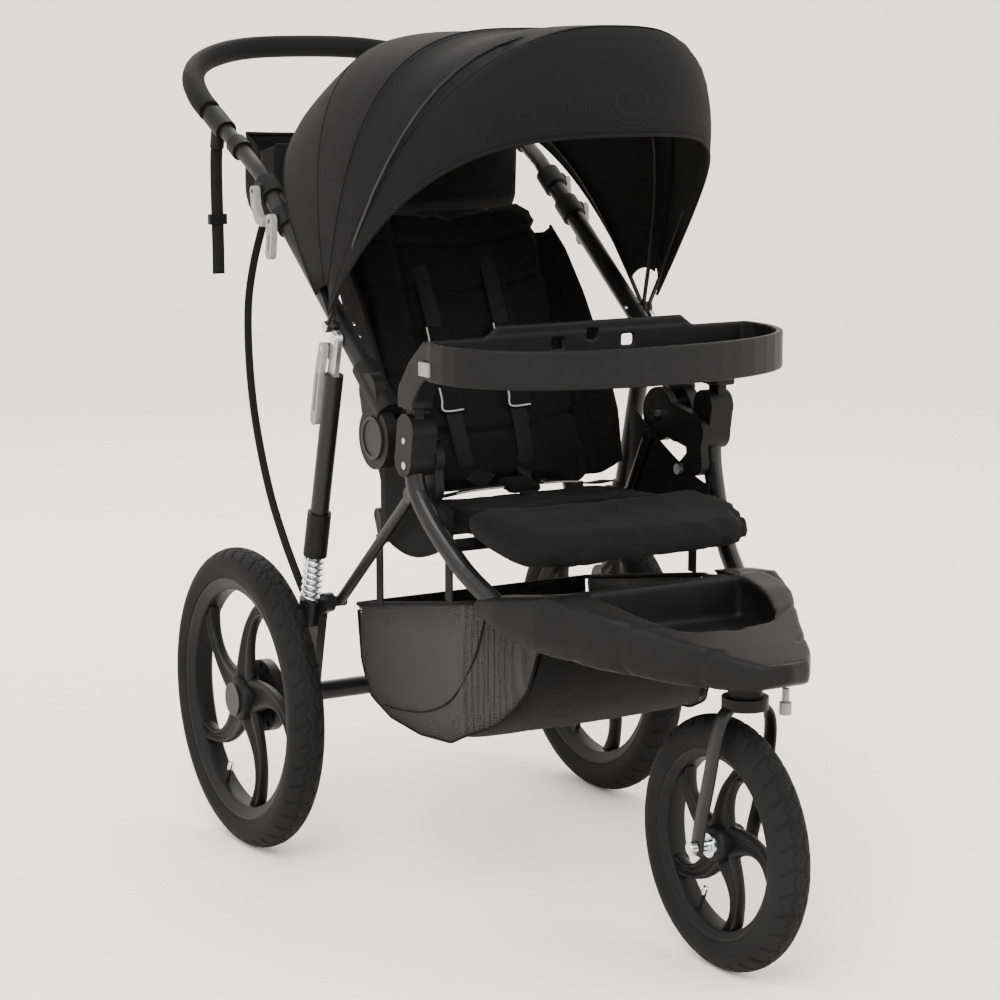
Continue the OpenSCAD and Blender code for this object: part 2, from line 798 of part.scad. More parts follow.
module brake_pedal() {
    // Foot bar on two arms that turn round the cross bar
    color("#1f2023") in_frame() {
        for (x = [-52, 52]) difference() {
            side_plate(x - 6.5, x + 6.5) strip([cross_bar, cross_bar + [24, 22], cross_bar + [62, 34]], 20);
            xcyl(x - 10, x + 10, cross_bar, 6 + run_gap);
        }
        side_plate(-78, 78) strip([cross_bar + [62, 34], cross_bar + [84, 36]], 12);
    }
}

module rear_tyre_left() { color("#1a1a1a") in_frame() at_rear_wheel() tyre(rear_tyre_r, 160); }
module rear_rim_left() { color("#2b2c30") in_frame() at_rear_wheel() rim(160, 145, 26, 40, 6 + run_gap); }
module rear_hub_left() { color("#3a3b3f") in_frame() at_rear_wheel() rear_hub(); }
module rear_tyre_right() {
    color("#1a1a1a") in_frame() mirror([1, 0, 0]) at_rear_wheel() tyre(rear_tyre_r, 160);
}
module rear_rim_right() {
    color("#2b2c30") in_frame() mirror([1, 0, 0]) at_rear_wheel() rim(160, 145, 26, 40, 6 + run_gap);
}
module rear_hub_right() { color("#3a3b3f") in_frame() mirror([1, 0, 0]) at_rear_wheel() rear_hub(); }

// ---- Front wheel and fork ----

module at_front_wheel() {
    translate([0, -wheelbase, front_tyre_r]) children();
}

module front_tyre() { color("#1a1a1a") in_frame() at_front_wheel() tyre(front_tyre_r, 113); }
module front_rim() { color("#2b2c30") in_frame() at_front_wheel() rim(113, 100, 21, 40, 9.02); }

module front_hub() {
    // Bearing sleeve pressed into the rim, with its two flanges
    color("#c9cbce") in_frame() at_front_wheel() difference() {
        union() {
            xcyl(-24, 24, [0, 0], 9);
            both() xcyl(20, 24, [0, 0], 14);
        }
        xcyl(-30, 30, [0, 0], 5 + run_gap);
    }
}

module front_axle() {
    color("#c9cbce") in_frame() at_front_wheel() {
        xcyl(-50, 50, [0, 0], 5);
        both() {
            xcyl(24.5, fork_x - 4, [0, 0], 8);
            xcyl(fork_x + 4, fork_x + 11, [0, 0], 8);
        }
    }
}

module front_fork() {
    color("#26272a") in_frame() difference() {
        union() {
            translate([0, swivel_y, 306]) cylinder(r = 9, h = 44);
            translate([0, swivel_y, 306]) cylinder(r = 25, h = 8);
            translate([-fork_x - 4, swivel_y - 17, 306]) cube([2 * fork_x + 8, 34, 8]);
            both() side_plate(fork_x - 4, fork_x + 4)
                strip([[-752, 301], [-744, 275], [-731, 235], [-718, 190], [-wheelbase, front_tyre_r]], 26);
        }
        both() xcyl(20, 60, [-wheelbase, front_tyre_r], 5.02);
    }
}

// ---- Links and seat ----

module rear_links() {
    // Tubes from the hinge brackets back to the axle plates
    color("#26272a") in_frame() both() {
        difference() {
            union() {
                rod(space(link_top_x, link_top), space(link_x, link_pin), 7);
                xcyl(bracket_x + bracket_t + pass_gap, 213, link_top, 10);
            }
            xcyl(180, 211.5 + loose_gap, link_top, 4 + run_gap);
        }
        xcyl(link_x - 7, plate_x - pass_gap, link_pin, 7);
    }
}

// Turns its children from lying along +y at the pivot to the upright back's slope
module on_back() {
    translate([0, back_pivot[0], back_pivot[1]]) rotate([back_slope, 0, 0]) children();
}

module back_hinge_bar() {
    // Bar at the bight of the seat, with the tongues that carry the back
    color("#26272a") in_frame() {
        xcyl(-174.5, 174.5, back_pivot, 6);
        on_back() for (x = [-120, 120]) translate([x - 14, 0, -3]) cube([28, 18, 6]);
    }
}

module seat_back() {
    color("#1b1c1e") in_frame() on_back() translate([0, 0, -14]) linear_extrude(28) {
        translate([-back_half_w, 20]) square([2 * back_half_w, back_len - 50]);
        translate([-back_half_w + 30, 20]) square([2 * back_half_w - 60, back_len - 20]);
        for (s = [-1, 1]) translate([s * (back_half_w - 30), back_len - 30]) circle(r = 30);
    }
}

module harness() {
    // Shoulder straps and their pads on the face of the back
    color("#151516") in_frame() on_back() both() {
        translate([38, 60, 14.2]) cube([24, 240, 3]);
        translate([32, 110, 17.4]) cube([36, 120, 8]);
    }
}

// ---- Tray ----

function tray_edge(inset, steps) = [
    for (i = [0:steps])
        let (e = super(180 + i * 180 / steps, 2.3))
            [(tray_half_w - inset) * e[0], tray_y + (tray_bow - inset) * e[1]]
];

module child_tray() {
    rear_y = -412;
    color("#2f3034") in_frame() difference() {
        union() {
            translate([0, 0, tray_z[0]]) linear_extrude(tray_z[1] - tray_z[0])
                polygon(concat(tray_edge(0, 24), [[tray_half_w - 6, rear_y], [6 - tray_half_w, rear_y]]));
            translate([0, rear_y, 0]) rotate([90, 0, 0]) linear_extrude(6)
                polygon([[-165, 700], [-130, 727], [130, 727], [165, 700]]);
            both() side_plate(204, 232) difference() {
                union() {
                    strip([[-371, 647], [-392, 672], [-420, 694]], 38);
                    translate([-389, 629]) square([38, 20]);
                }
                translate([-420, 600]) square([100, 24.5]);
            }
        }
        translate([0, 0, tray_z[0] + 5]) linear_extrude(60)
            polygon(concat(
                tray_edge(8, 24), [[tray_half_w - 16, rear_y - 7], [16 - tray_half_w, rear_y - 7]]
            ));
        for (x = [-58, 42]) translate([x, rear_y - 10, 694]) cube([18, 14, 14]);
        translate([-8, rear_y - 10, 704]) cube([16, 14, 12]);
        both() {
            side_plate(212 - loose_gap, 224 + loose_gap) translate([-381 - loose_gap, 600])
                square([22.6, 64]);
            side_plate(228.5, 240) translate([-437, 674]) square([24.6, 16.6]);
        }
    }
}

module tray_button() {
    side_plate(231, 236.5) translate([-436.7, 674.3]) square([24, 16]);
}

module tray_button_left() { color("#b8bab8") in_frame() tray_button(); }
module tray_button_right() { color("#b8bab8") in_frame() mirror([1, 0, 0]) tray_button(); }
module clamp_lever_left() { color("#b8bab8") in_frame() clamp_lever(); }
module clamp_lever_right() { color("#b8bab8") in_frame() mirror([1, 0, 0]) clamp_lever(); }
module lock_lever_left() { color("#b8bab8") in_frame() lock_lever(); }
module lock_lever_right() { color("#b8bab8") in_frame() mirror([1, 0, 0]) lock_lever(); }
module fold_latch_left() { color("#b8bab8") in_frame() fold_latch(); }
module fold_latch_right() { color("#b8bab8") in_frame() mirror([1, 0, 0]) fold_latch(); }

front_tubes();
hinge_brackets();
footrest_fairing();
swivel_housing();
seat_cushion();
calf_rest();
storage_basket();
seat_cross_tube();
basket_straps();
frame_screws();
crotch_strap();
swivel_lock();
upper_tubes();
hinge_hubs();
hinge_caps();
pivot_bolts();
lever_housings();
canopy_rear();
canopy_bows();
organiser_bag();
handle_stems();
handle_tube();
foam_grip();
handle_fittings();
webbing_tail();
tether_strap();
clamp_lever_left();
clamp_lever_right();
lock_lever_left();
lock_lever_right();
leg_tubes();
leg_brackets();
leg_sleeves();
fold_latch_left();
fold_latch_right();
coil_springs();
leg_rods();
rear_axle_frame();
wheel_axles();
brake_pedal();
rear_tyre_left();
rear_rim_left();
rear_hub_left();
rear_tyre_right();
rear_rim_right();
rear_hub_right();
front_tyre();
front_rim();
front_hub();
front_fork();
front_axle();
rear_links();
seat_back();
back_hinge_bar();
harness();
canopy_hood();
canopy_front_bow();
child_tray();
tray_button_left();
tray_button_right();
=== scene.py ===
import json
import math

import bmesh
import bpy
import numpy as np
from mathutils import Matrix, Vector, noise


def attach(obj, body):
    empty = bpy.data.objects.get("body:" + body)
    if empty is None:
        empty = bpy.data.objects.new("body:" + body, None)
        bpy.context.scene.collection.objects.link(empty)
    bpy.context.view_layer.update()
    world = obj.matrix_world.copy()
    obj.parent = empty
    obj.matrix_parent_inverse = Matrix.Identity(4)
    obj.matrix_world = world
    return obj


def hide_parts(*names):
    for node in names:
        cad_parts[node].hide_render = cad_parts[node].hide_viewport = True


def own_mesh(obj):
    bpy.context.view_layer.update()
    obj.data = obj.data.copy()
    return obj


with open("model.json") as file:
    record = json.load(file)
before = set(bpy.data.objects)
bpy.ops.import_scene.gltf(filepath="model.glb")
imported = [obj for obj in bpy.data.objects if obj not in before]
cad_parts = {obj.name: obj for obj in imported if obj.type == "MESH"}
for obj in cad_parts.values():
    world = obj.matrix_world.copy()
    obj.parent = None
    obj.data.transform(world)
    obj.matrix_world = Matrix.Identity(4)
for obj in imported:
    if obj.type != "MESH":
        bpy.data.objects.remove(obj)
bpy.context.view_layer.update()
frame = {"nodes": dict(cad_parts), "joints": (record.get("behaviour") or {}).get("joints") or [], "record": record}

nodes = frame["nodes"]
record = frame["record"]
scene = bpy.context.scene

# Places below are in millimetres from the middle of the rear axle line, as in the CAD source.
MM = 0.001
AXLE_Y = [j for j in frame["joints"] if j["name"] == "wheel_spin_left"][0]["pos_m"][1]
SIDES = ((-1, "right"), (1, "left"))
SLOT_OF = {p["node"]: p["material_slot"] for p in record["subparts"]}


def at(x, y, z):
    """A point of the row frame, in metres, from millimetres behind the rear axle."""
    return Vector((x * MM, y * MM + AXLE_Y, z * MM))


# ---- Camera, lights and floor ----

def make_camera():
    data = bpy.data.cameras.new("camera")
    data.sensor_width = 36
    data.lens = 96.94
    data.clip_end = 60
    camera = bpy.data.objects.new("camera", data)
    camera.location = at(-1717.2, -3177.7, 1083.9)
    camera.rotation_euler = (math.radians(90 - 10.09), 0, math.radians(-29.92))
    scene.collection.objects.link(camera)
    scene.camera = camera


def make_light(name, place, size, power, colour=(1, 1, 1)):
    data = bpy.data.lights.new(name, "AREA")
    data.shape = "DISK"
    data.size = size
    data.energy = power
    data.color = colour
    light = bpy.data.objects.new(name, data)
    light.location = place
    light.rotation_euler = (at(0, -250, 500) - Vector(place)).to_track_quat("-Z", "Y").to_euler()
    scene.collection.objects.link(light)


def make_studio():
    """A pale floor that curves up into a backdrop, soft lights and a pale surround."""
    profile = [(-9, 0), (5, 0), (6, 0.08), (6.8, 0.4), (7.4, 1), (7.7, 2), (7.8, 8)]
    forward = Vector((math.sin(math.radians(29.92)), math.cos(math.radians(29.92)), 0))
    across = Vector((forward.y, -forward.x, 0))
    bm = bmesh.new()
    rows = [[bm.verts.new(forward * d + across * s + Vector((0, 0, h))) for s in (-14, 14)]
            for d, h in profile]
    for a, b in zip(rows, rows[1:]):
        bm.faces.new((a[0], a[1], b[1], b[0]))
    mesh = bpy.data.meshes.new("studio_floor")
    bm.to_mesh(mesh)
    mesh.shade_smooth()
    floor = bpy.data.objects.new("studio_floor", mesh)
    scene.collection.objects.link(floor)
    floor.data.materials.append(floor_material())
    world = bpy.data.worlds.new("surround")
    world.use_nodes = True
    world.node_tree.nodes["Background"].inputs["Color"].default_value = (0.93, 0.912, 0.885, 1)
    world.node_tree.nodes["Background"].inputs["Strength"].default_value = 2.5
    scene.world = world
    make_light("key", (-2.2, -2.6, 3.2), 2.2, 190)
    make_light("fill", (2.6, -2.2, 1.8), 2.5, 45)
    make_light("rim", (0.6, 2.8, 2.6), 1.6, 60)


# ---- Materials ----

class Nodes:
    """Short hand for building one material's node tree."""

    def __init__(self, name):
        self.material = bpy.data.materials.new(name)
        self.material.use_nodes = True
        self.tree = self.material.node_tree
        self.shader = self.tree.nodes["Principled BSDF"]
        self.place = self.add("ShaderNodeTexCoord").outputs["Object"]

    def add(self, kind, **values):
        node = self.tree.nodes.new(kind)
        for key, value in values.items():
            setattr(node, key, value)
        return node

    def link(self, out, into):
        self.tree.links.new(out, into)

    def noise(self, scale, detail=3, place=None):
        node = self.add("ShaderNodeTexNoise")
        node.inputs["Scale"].default_value = scale
        node.inputs["Detail"].default_value = detail
        self.link(place or self.place, node.inputs["Vector"])
        return node.outputs["Fac"]

    def wave(self, scale, direction, place=None):
        node = self.add("ShaderNodeTexWave", bands_direction=direction)
        node.inputs["Scale"].default_value = scale
        self.link(place or self.place, node.inputs["Vector"])
        return node.outputs["Fac"]

    def math(self, operation, a, b):
        node = self.add("ShaderNodeMath", operation=operation)
        for i, value in enumerate((a, b)):
            if hasattr(value, "links"):
                self.link(value, node.inputs[i])
            else:
                node.inputs[i].default_value = value
        return node.outputs[0]

    def ramp(self, fac, low, high, start=0.3, end=0.7):
        node = self.add("ShaderNodeValToRGB")
        node.color_ramp.elements[0].position = start
        node.color_ramp.elements[0].color = (*low, 1)
        node.color_ramp.elements[1].position = end
        node.color_ramp.elements[1].color = (*high, 1)
        self.link(fac, node.inputs["Fac"])
        return node.outputs["Color"]

    def bump(self, height, distance, strength=1.0, after=None):
        node = self.add("ShaderNodeBump")
        node.inputs["Distance"].default_value = distance
        node.inputs["Strength"].default_value = strength
        self.link(height, node.inputs["Height"])
        if after:
            self.link(after, node.inputs["Normal"])
        return node.outputs["Normal"]

    def spread(self, fac, low, high):
        node = self.add("ShaderNodeMapRange")
        node.inputs["To Min"].default_value = low
        node.inputs["To Max"].default_value = high
        self.link(fac, node.inputs["Value"])
        return node.outputs["Result"]

    def done(self, colour=None, roughness=None, normal=None):
        if colour:
            self.link(colour, self.shader.inputs["Base Color"])
        if roughness:
            self.link(roughness, self.shader.inputs["Roughness"])
        if normal:
            self.link(normal, self.shader.inputs["Normal"])
        return self.material


def shade(colour, amount):
    return tuple(c * amount for c in colour)


def fabric_material(name, colour, pitch=0.0011, sheen=0.25):
    """Plain weave: crossed ribs, threads that vary in tone, soft creases and a little sheen."""
    n = Nodes(name)
    ribs = n.math("MAXIMUM", n.math("MULTIPLY", n.wave(0.314 / pitch, "X"), n.wave(0.314 / pitch, "Z")),
                  n.math("MULTIPLY", n.wave(0.314 / pitch, "Y"), n.wave(0.271 / pitch, "DIAGONAL")))
    slub = n.noise(900, 2)
    tone = n.math("ADD", n.math("MULTIPLY", ribs, 0.5), n.math("MULTIPLY", slub, 0.5))
    colour_out = n.ramp(tone, shade(colour, 0.62), shade(colour, 1.55), 0.2, 0.85)
    creases = n.bump(n.noise(22, 4), 0.0035, 0.35)
    normal = n.bump(tone, 0.0006, 0.55, creases)
    n.shader.inputs["Sheen Weight"].default_value = sheen
    n.shader.inputs["Sheen Roughness"].default_value = 0.5
    n.shader.inputs["Specular IOR Level"].default_value = 0.05
    return n.done(colour_out, n.spread(slub, 0.78, 0.95), normal)


def mesh_material(name, colour):
    """Open knitted mesh: dark threads round small holes that show what is behind."""
    n = Nodes(name)
    holes = n.add("ShaderNodeTexVoronoi", feature="F1")
    holes.inputs["Scale"].default_value = 260
    holes.inputs["Randomness"].default_value = 0.15
    n.link(n.place, holes.inputs["Vector"])
    threads = n.math("GREATER_THAN", holes.outputs["Distance"], 0.36)
    n.link(n.spread(threads, 0.12, 1.0), n.shader.inputs["Alpha"])
    tone = n.noise(700, 2)
    return n.done(n.ramp(tone, shade(colour, 0.7), shade(colour, 1.6)), n.spread(tone, 0.7, 0.9),
                  n.bump(holes.outputs["Distance"], 0.0006, 0.6))


def webbing_material(name, colour):
    """Flat webbing with close ribs across it."""
    n = Nodes(name)
    ribs = n.wave(230, "Z")
    grain = n.noise(1200, 2)
    tone = n.math("MULTIPLY", ribs, n.math("ADD", grain, 0.4))
    n.shader.inputs["Sheen Weight"].default_value = 0.02
    n.shader.inputs["Specular IOR Level"].default_value = 0.1
    return n.done(n.ramp(tone, shade(colour, 0.6), shade(colour, 1.7), 0.1, 0.8),
                  n.spread(grain, 0.6, 0.85), n.bump(ribs, 0.0005, 0.5))


def plastic_material(name, colour, low=0.42, high=0.6, grain=0.00012):
    """Moulded plastic with a fine spark-eroded grain, and paler rubbed patches."""
    n = Nodes(name)
    fine = n.noise(1500, 2)
    broad = n.noise(14, 4)
    rubbed = n.math("MULTIPLY", broad, n.noise(90, 3))
    n.shader.inputs["Specular IOR Level"].default_value = 0.12
    return n.done(n.ramp(rubbed, shade(colour, 0.85), shade(colour, 1.25), 0.15, 0.45),
                  n.spread(broad, low, high), n.bump(fine, grain * 4, 0.5))


def paint_material(name, colour):
    """Powder coat: satin, with a faint orange peel and light scuffs."""
    n = Nodes(name)
    peel = n.noise(420, 2)
    scuffs = n.math("MULTIPLY", n.noise(60, 5), n.noise(9, 2))
    n.shader.inputs["Coat Weight"].default_value = 0.05
    n.shader.inputs["Specular IOR Level"].default_value = 0.2
    n.shader.inputs["Coat Roughness"].default_value = 0.3
    return n.done(n.ramp(scuffs, shade(colour, 0.9), shade(colour, 1.5), 0.2, 0.5),
                  n.spread(scuffs, 0.36, 0.58), n.bump(peel, 0.0002, 0.25))


def metal_material(name, colour, low, high):
    """Bare metal with fine brushed marks and a soft haze."""
    n = Nodes(name)
    brushed = n.wave(600, "X")
    haze = n.noise(40, 4)
    n.shader.inputs["Metallic"].default_value = 1.0
    return n.done(n.ramp(haze, shade(colour, 0.8), colour, 0.2, 0.8), n.spread(haze, low, high),
                  n.bump(n.math("ADD", brushed, n.noise(900, 2)), 0.00004, 0.3))


def rubber_material(name, colour, pores=500, depth=0.0003):
    """Dull rubber or foam with a pored skin and dusty variation."""
    n = Nodes(name)
    fine = n.noise(pores, 3)
    dust = n.noise(11, 5)
    n.shader.inputs["Specular IOR Level"].default_value = 0.1
    return n.done(n.ramp(dust, shade(colour, 0.75), shade(colour, 1.6), 0.3, 0.75),
                  n.spread(dust, 0.68, 0.86), n.bump(fine, depth, 0.5))


def floor_material():
    n = Nodes("studio_paper")
    tone = n.noise(1.2, 2)
    return n.done(n.ramp(tone, (0.9, 0.882, 0.85), (0.92, 0.902, 0.87)), n.spread(tone, 0.85, 0.95))


FINISH = {
    "frame_paint": paint_material("frame_paint", (0.0045, 0.0045, 0.005)),
    "black_plastic": plastic_material("black_plastic", (0.004, 0.004, 0.0043)),
    "cap_plastic": plastic_material("cap_plastic", (0.009, 0.009, 0.01), 0.3, 0.45),
    "grey_plastic": plastic_material("grey_plastic", (0.2, 0.2, 0.195)),
    "bright_steel": metal_material("bright_steel", (0.72, 0.73, 0.75), 0.12, 0.28),
    "satin_alloy": metal_material("satin_alloy", (0.5, 0.51, 0.52), 0.3, 0.45),
    "black_fabric": fabric_material("black_fabric", (0.006, 0.006, 0.0063), 0.0011, 0.02),
    "mesh_fabric": mesh_material("mesh_fabric", (0.0055, 0.0055, 0.006)),
    "webbing": webbing_material("webbing", (0.006, 0.006, 0.0065)),
    "tyre_rubber": rubber_material("tyre_rubber", (0.006, 0.006, 0.0063)),
    "foam": rubber_material("foam", (0.003, 0.003, 0.0032), 1400, 0.0006),
    "rim_plastic": plastic_material("rim_plastic", (0.0042, 0.0042, 0.0046), 0.4, 0.55),
}
SEAT_FABRIC = fabric_material("seat_fabric", (0.0052, 0.0052, 0.0056), 0.0009, 0.02)
PIPING = fabric_material("reflective_piping", (0.3, 0.3, 0.3), 0.0009, 0.0)
THREAD = fabric_material("stitch_thread", (0.007, 0.007, 0.0075), 0.0006, 0.02)


# ---- Mesh helpers ----

def add_piece(name, verts, faces, body, slot, material=None, smooth=True):
    mesh = bpy.data.meshes.new(name)
    mesh.from_pydata([tuple(v) for v in verts], [], faces)
    mesh.update()
    bm = bmesh.new()
    bm.from_mesh(mesh)
    bmesh.ops.recalc_face_normals(bm, faces=bm.faces)
    bm.to_mesh(mesh)
    if smooth:
        mesh.shade_smooth()
    obj = bpy.data.objects.new(name, mesh)
    scene.collection.objects.link(obj)
    obj.data.materials.append(material or FINISH[slot])
    if body:
        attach(obj, body)
    return obj


def spline(points, steps):
    """Smooth curve through points, with a number of steps between each two."""
    p = [Vector(q) for q in points]
    out = []
    for i in range(len(p) - 1):
        a, b, c, d = p[max(i - 1, 0)], p[i], p[i + 1], p[min(i + 2, len(p) - 1)]
        for k in range(steps):
            f = k / steps
            out.append(0.5 * (2 * b + (c - a) * f + (2 * a - 5 * b + 4 * c - d) * f * f
                              + (3 * b - a - 3 * c + d) * f ** 3))
    return out + [p[-1]]


def sweep(points, section, up=(0, 0, 1), closed=False):
    """Verts and faces of a section, [(across, along up)], swept along points."""
    n, m = len(points), len(section)
    verts, faces = [], []
    for i, p in enumerate(points):
        before = points[(i - 1) % n] if closed else points[max(i - 1, 0)]
        after = points[(i + 1) % n] if closed else points[min(i + 1, n - 1)]
        heading = (after - before).normalized()
        side = heading.cross(Vector(up)).normalized()
        top = side.cross(heading)
        verts += [p + side * a + top * b for a, b in section]
    for i in range(n if closed else n - 1):
        for j in range(m):
            k, i2 = (j + 1) % m, (i + 1) % n
            faces.append((i * m + j, i * m + k, i2 * m + k, i2 * m + j))
    if not closed:
        faces += [tuple(range(m)), tuple((n - 1) * m + j for j in reversed(range(m)))]
    return verts, faces


def ring(radius, count):
    return [(radius * math.cos(2 * math.pi * k / count), radius * math.sin(2 * math.pi * k / count))
            for k in range(count)]


def flat_section(width, thick):
    """A webbing's section with rounded edges: wide across, thin along up."""
    w, t = width / 2, thick / 2
    return [(-w, 0), (-w + t, t), (0, t * 1.1), (w - t, t),
            (w, 0), (w - t, -t), (0, -t * 1.1), (-w + t, -t)]


def grid_faces(rows, columns, wrap=False):
    faces = []
    for i in range(rows - 1):
        for j in range(columns if wrap else columns - 1):
            k = (j + 1) % columns
            faces.append((i * columns + j, i * columns + k, (i + 1) * columns + k, (i + 1) * columns + j))
    return faces


def coords(obj):
    found = np.empty(len(obj.data.vertices) * 3)
    obj.data.vertices.foreach_get("co", found)
    return found.reshape(-1, 3)


def set_coords(obj, places):
    obj.data.vertices.foreach_set("co", np.asarray(places, float).ravel())
    obj.data.update()


def bake(obj):
    """Applies obj's modifiers to its mesh."""
    graph = bpy.context.evaluated_depsgraph_get()
    mesh = bpy.data.meshes.new_from_object(obj.evaluated_get(graph))
    obj.modifiers.clear()
    obj.data = mesh
    mesh.shade_smooth()


def puff(obj, cap, voxel=0.0055, pressure=4.0, rounds=1):
    """Stuffs a closed mesh: remesh, cloth under pressure, each point's travel capped, then subdivide."""
    remesh = obj.modifiers.new("remesh", "REMESH")
    remesh.mode = "VOXEL"
    remesh.voxel_size = voxel
    relax = obj.modifiers.new("relax", "SMOOTH")
    relax.factor = 0.5
    relax.iterations = 6
    bake(obj)
    rest = coords(obj)
    cloth = obj.modifiers.new("cloth", "CLOTH")
    cloth.settings.quality = 5
    cloth.settings.use_pressure = True
    cloth.settings.uniform_pressure_force = pressure
    cloth.settings.effector_weights.gravity = 0
    for number in range(1, 21):
        scene.frame_set(number)
    bake(obj)
    scene.frame_set(1)
    moved = coords(obj) - rest
    size = np.linalg.norm(moved, axis=1, keepdims=True)
    set_coords(obj, rest + moved * np.minimum(1, cap / np.maximum(size, 1e-9)))
    smooth = obj.modifiers.new("smooth", "SUBSURF")
    smooth.levels = smooth.render_levels = rounds
    bake(obj)


def sew(obj, distance, depth, width):
    """Presses a sewn channel into obj: distance gives each point's distance from the seam."""
    places = coords(obj)
    normals = np.empty(len(places) * 3)
    obj.data.vertices.foreach_get("normal", normals)
    normals = normals.reshape(-1, 3)
    d = distance(places)
    set_coords(obj, places - normals * (depth * np.exp(-(d / width) ** 2))[:, None])


def slab(plan, low, high, place):
    """Closed box mesh over an outline, [(u, v)], from low to high; place maps (u, v, w) to the frame."""
    n = len(plan)
    verts = [place(u, v, w) for w in (low, high) for u, v in plan]
    faces = [tuple(reversed(range(n))), tuple(range(n, 2 * n))]
    faces += [(i, (i + 1) % n, n + (i + 1) % n, n + i) for i in range(n)]
    return verts, faces


def rounded(half_w, low, high, radius, steps=6):
    """Outline of a rounded rectangle from -half_w to half_w and low to high."""
    corners = [(half_w - radius, high - radius, 0), (radius - half_w, high - radius, 90),
               (radius - half_w, low + radius, 180), (half_w - radius, low + radius, 270)]
    return [(x + radius * math.cos(math.radians(a + 90 * k / steps)),
             y + radius * math.sin(math.radians(a + 90 * k / steps)))
            for x, y, a in corners for k in range(steps + 1)]


# ---- Cords: the hanging tail and the tether ----

def make_strap(name, route, width, thick, body, node):
    line = spline([at(*p) for p in route], 4)
    strap = add_piece(name, *sweep(line, flat_section(width, thick), up=(0, 1, 0.2)), body, "webbing")
    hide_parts(node)
    return strap


def make_cords():
    tether = [
        (-178, 134, 818), (-182, 138, 800), (-192, 140, 760), (-204, 132, 710), (-214, 112, 650),
        (-222, 84, 585), (-227, 52, 525), (-230, 14, 465), (-231, -26, 415), (-231, -60, 378),
        (-230, -84, 352)
    ]
    tail = [
        (-221.6, 187.6, 915.6), (-221.6, 189.6, 907), (-222, 190, 890), (-222, 190, 860),
        (-222, 189, 820), (-222, 188, 780), (-222, 188, 745)
    ]
    hem = add_piece("tail_end_fold", *sweep([at(-222, 188, z) for z in (745.5, 751, 757)],
                    flat_section(0.0175, 0.0046), up=(0, 1, 0)), "handlebar", "webbing")
    make_strap("hanging_tail", tail, 0.018, 0.0028, "handlebar",
               "webbing_tail")
    strap = make_strap("tether", tether, 0.012, 0.0024, "handle_frame",
                       "tether_strap")
    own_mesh(strap)


# ---- Canopy: two curved sheets with hems and seams ----

PIVOT_Y, PIVOT_Z = -176, 709
REAR_R, REAR_X = 368, 235
HOOD_X = 242.7


def super_ellipse(t, power=3.2):
    c, s = math.cos(t), math.sin(t)
    return (math.copysign(abs(c) ** (2 / power), c), math.copysign(abs(s) ** (2 / power), s))


def canopy_at(a, t, r, half_w, power=3.2):
    """A point of the canopy: a is its angle above level seen from the side, t its place across."""
    x, up = super_ellipse(math.radians(t), power)
    slope = math.radians(a)
    return at(half_w * x, PIVOT_Y + r * up * math.cos(slope), PIVOT_Z + r * up * math.sin(slope))


def rear_r(a, t):
    """Radius of the rear shell, which sags between its stays at 50 and 103 degrees and its middle seam."""
    sag = 7 * abs(math.sin(math.pi * (a - 50) / 26.5)) ** 1.3
    return REAR_R + 0.5 - sag * math.sin(math.radians(t)) ** 2


def hood_r(a, t):
    """Radius of the hood: level over its crest, with a dip before it, then falling steeply to the brim."""
    base = 369.5 / math.sin(math.radians(a)) if a < 128 else 469 - (a - 128) ** 2 * 0.29
    dip = 10 * math.exp(-((a - 110) / 7) ** 2) * math.sin(math.radians(t)) ** 2
    return base - dip


def hood_angle(f, t):
    """From the hood's rear edge at f = 0 to its brim at f = 1, which juts out further in the middle."""
    up = super_ellipse(math.radians(t))[1]
    return 104 + (128 + 15 * up * up - 104) * f


def hood_at(f, t, lift=0.0):
    """A point of the hood: its section is square at its rear edge and round at its brim."""
    a = hood_angle(f, t)
    return canopy_at(a, t, hood_r(a, t) + lift, HOOD_X + min(lift, 0.6), 3.2 - 1.15 * f)


def across(count, low=2.5):
    return [low + (180 - 2 * low) * k / count for k in range(count + 1)]


def cloth_sheet(name, rows, body, nodes_replaced):
    """A sheet from rows of points, 1.6 mm thick."""
    columns = len(rows[0])
    verts = [p for row in rows for p in row]
    sheet = add_piece(name, verts, grid_faces(len(rows), columns), None, "black_fabric")
    thicken = sheet.modifiers.new("thickness", "SOLIDIFY")
    thicken.thickness = 0.0016
    thicken.offset = 0
    bake(sheet)
    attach(sheet, body)
    if nodes_replaced:
        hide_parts(*nodes_replaced)
    return sheet


def hem(name, line, body, radius=2.2, material=None, slot="black_fabric"):
    section = [(a * MM, b * MM) for a, b in ring(radius, 8)]
    return add_piece(name, *sweep(line, section, up=(0.3, 0.2, 1)), body, slot, material)


STITCH_FACES = [(0, 2, 4), (2, 1, 4), (1, 3, 4), (3, 0, 4), (2, 0, 5), (1, 2, 5), (3, 1, 5), (0, 3, 5)]


def stitches(name, line, body, gap=5.0, long=3.0, out=0.7):
    """A row of raised thread stitches along a line of points."""
    verts, faces, run = [], [], 0.0
    half = long * MM / 2
    for a, b in zip(line, line[1:]):
        span = (b - a).length
        heading = (b - a).normalized() if span > 1e-9 else Vector((1, 0, 0))
        while run < span:
            centre = a + heading * run
            side = heading.cross(Vector((0.2, 0.3, 0.9))).normalized() * 0.0005
            top = heading.cross(side).normalized() * out * MM
            first = len(verts)
            verts += [centre - heading * half, centre + heading * half, centre + side, centre - side,
                      centre + top, centre - top]
            faces += [tuple(first + k for k in face) for face in STITCH_FACES]
            run += gap * MM
        run -= span
    return add_piece(name, verts, faces, body, "black_fabric", THREAD, smooth=False)


